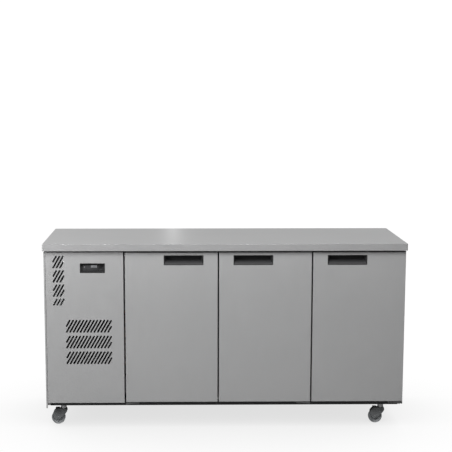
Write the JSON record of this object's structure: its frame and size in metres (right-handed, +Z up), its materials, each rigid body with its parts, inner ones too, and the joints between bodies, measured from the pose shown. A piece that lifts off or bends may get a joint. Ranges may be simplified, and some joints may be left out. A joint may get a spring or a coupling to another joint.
{
  "type": "under counter fridge",
  "caption": "Refrigerated under counter cabinet on castors: steel worktop, hinged doors with recessed grips, louvred panel over its condensing unit and a small controller.",
  "frame": {"origin": "floor level at the centre of the worktop's footprint", "axes": "+X towards the viewer's right when facing the doors, -Y out of the doors, +Z up"},
  "size_m": [1.83, 0.7, 0.95],
  "materials": {
    "stainless": "satin",
    "galvanised": "matte",
    "insulation": "matte",
    "black_plastic": "satin",
    "controller_face": "satin",
    "seal": "matte",
    "black_enamel": "satin",
    "coil": "satin",
    "copper": "satin",
    "box_plastic": "matte",
    "castor_steel": "satin",
    "castor_wheel": "matte",
    "shelf_wire": "satin"
  },
  "bodies": {
    "cabinet": {"worktop": "stainless", "side_panels": "stainless", "back_panel": "galvanised", "base_pan": "black_enamel", "bulkhead": "galvanised", "inner_liner": "stainless", "body_foam": "insulation", "front_frame": "stainless", "mullions": "stainless", "hinge_brackets": "stainless", "front_panel": "stainless", "controller_bezel": "black_plastic", "controller_body": "controller_face", "unit_tray": "galvanised", "compressor": "black_enamel", "condenser": "coil", "condenser_fan_motor": "black_enamel", "refrigerant_pipes": "copper", "electrical_box": "box_plastic", "rear_grille": "galvanised", "power_cord": "seal", "evaporator_coil": "coil", "evaporator_fan_motor": "black_enamel", "evaporator_cover": "stainless", "shelf_supports": "stainless", "castor_mounts": "castor_steel"},
    "door_1": {"door_1_skin": "stainless", "door_1_foam": "insulation", "door_1_liner": "stainless", "door_1_handle": "black_plastic", "door_1_gasket": "seal"},
    "door_2": {"door_2_skin": "stainless", "door_2_foam": "insulation", "door_2_liner": "stainless", "door_2_handle": "black_plastic", "door_2_gasket": "seal"},
    "door_3": {"door_3_skin": "stainless", "door_3_foam": "insulation", "door_3_liner": "stainless", "door_3_handle": "black_plastic", "door_3_gasket": "seal"},
    "shelf_1": {"shelf_1": "shelf_wire"},
    "shelf_2": {"shelf_2": "shelf_wire"},
    "shelf_3": {"shelf_3": "shelf_wire"},
    "key_1": {"button_1": "black_plastic"},
    "key_2": {"button_2": "black_plastic"},
    "key_3": {"button_3": "black_plastic"},
    "rocker": {"power_rocker": "black_plastic"},
    "cooling_fan": {"condenser_fan": "black_plastic"},
    "air_fan": {"evaporator_fan": "black_plastic"},
    "fork_front_left": {"fork_front_left": "castor_steel"},
    "wheel_front_left": {"wheel_front_left": "castor_wheel"},
    "brake_front_left": {"brake_front_left": "black_plastic"},
    "fork_front_right": {"fork_front_right": "castor_steel"},
    "wheel_front_right": {"wheel_front_right": "castor_wheel"},
    "brake_front_right": {"brake_front_right": "black_plastic"},
    "fork_rear_left": {"fork_rear_left": "castor_steel"},
    "wheel_rear_left": {"wheel_rear_left": "castor_wheel"},
    "fork_rear_right": {"fork_rear_right": "castor_steel"},
    "wheel_rear_right": {"wheel_rear_right": "castor_wheel"}
  },
  "joints": [
    {"name": "door_1_hinge", "type": "hinge", "parent": "cabinet", "child": "door_1", "pos_m": [-0.479, -0.305, 0.51875], "axis": [0, 0, -1], "range_deg": [0, 105]},
    {"name": "door_2_hinge", "type": "hinge", "parent": "cabinet", "child": "door_2", "pos_m": [0.41267, -0.305, 0.51875], "axis": [0, 0, 1], "range_deg": [0, 105]},
    {"name": "door_3_hinge", "type": "hinge", "parent": "cabinet", "child": "door_3", "pos_m": [0.887, -0.305, 0.51875], "axis": [0, 0, 1], "range_deg": [0, 105]},
    {"name": "shelf_1_lift", "type": "slide", "parent": "cabinet", "child": "shelf_1", "axis": [0, 0, 1], "range_m": [0, 0.025]},
    {"name": "shelf_2_lift", "type": "slide", "parent": "cabinet", "child": "shelf_2", "axis": [0, 0, 1], "range_m": [0, 0.025]},
    {"name": "shelf_3_lift", "type": "slide", "parent": "cabinet", "child": "shelf_3", "axis": [0, 0, 1], "range_m": [0, 0.025]},
    {"name": "key_1_press", "type": "slide", "parent": "cabinet", "child": "key_1", "axis": [0, 1, 0], "range_m": [0, 0.0006], "stiffness_N_per_m": 60},
    {"name": "key_2_press", "type": "slide", "parent": "cabinet", "child": "key_2", "axis": [0, 1, 0], "range_m": [0, 0.0006], "stiffness_N_per_m": 60},
    {"name": "key_3_press", "type": "slide", "parent": "cabinet", "child": "key_3", "axis": [0, 1, 0], "range_m": [0, 0.0006], "stiffness_N_per_m": 60},
    {"name": "rocker_tilt", "type": "hinge", "parent": "cabinet", "child": "rocker", "pos_m": [-0.625, -0.304, 0.8263], "axis": [-1, 0, 0], "range_deg": [0, 16]},
    {"name": "condenser_fan_spin", "type": "hinge", "parent": "cabinet", "child": "cooling_fan", "pos_m": [-0.69, -0.156, 0.43], "axis": [0, 1, 0], "continuous": true},
    {"name": "evaporator_fan_spin", "type": "hinge", "parent": "cabinet", "child": "air_fan", "pos_m": [-0.5, 0.125, 0.705], "axis": [1, 0, 0], "continuous": true},
    {"name": "swivel_front_left", "type": "hinge", "parent": "cabinet", "child": "fork_front_left", "pos_m": [-0.832, -0.232, 0.082], "axis": [0, 0, 1], "continuous": true},
    {"name": "roll_front_left", "type": "hinge", "parent": "fork_front_left", "child": "wheel_front_left", "pos_m": [-0.859, -0.232, 0.035], "axis": [0, 1, 0], "continuous": true},
    {"name": "brake_front_left_press", "type": "hinge", "parent": "fork_front_left", "child": "brake_front_left", "pos_m": [-0.856, -0.232, 0.082], "axis": [0, -1, 0], "range_deg": [0, 15], "stiffness_Nm_per_rad": 0.004, "springref_deg": -17.19},
    {"name": "swivel_front_right", "type": "hinge", "parent": "cabinet", "child": "fork_front_right", "pos_m": [0.813, -0.232, 0.082], "axis": [0, 0, 1], "continuous": true},
    {"name": "roll_front_right", "type": "hinge", "parent": "fork_front_right", "child": "wheel_front_right", "pos_m": [0.786, -0.232, 0.035], "axis": [0, 1, 0], "continuous": true},
    {"name": "brake_front_right_press", "type": "hinge", "parent": "fork_front_right", "child": "brake_front_right", "pos_m": [0.789, -0.232, 0.082], "axis": [0, -1, 0], "range_deg": [0, 15], "stiffness_Nm_per_rad": 0.004, "springref_deg": -17.19},
    {"name": "swivel_rear_left", "type": "hinge", "parent": "cabinet", "child": "fork_rear_left", "pos_m": [-0.832, 0.24, 0.082], "axis": [0, 0, 1], "continuous": true},
    {"name": "roll_rear_left", "type": "hinge", "parent": "fork_rear_left", "child": "wheel_rear_left", "pos_m": [-0.859, 0.24, 0.035], "axis": [0, 1, 0], "continuous": true},
    {"name": "swivel_rear_right", "type": "hinge", "parent": "cabinet", "child": "fork_rear_right", "pos_m": [0.813, 0.24, 0.082], "axis": [0, 0, 1], "continuous": true},
    {"name": "roll_rear_right", "type": "hinge", "parent": "fork_rear_right", "child": "wheel_rear_right", "pos_m": [0.786, 0.24, 0.035], "axis": [0, 1, 0], "continuous": true}
  ]
}
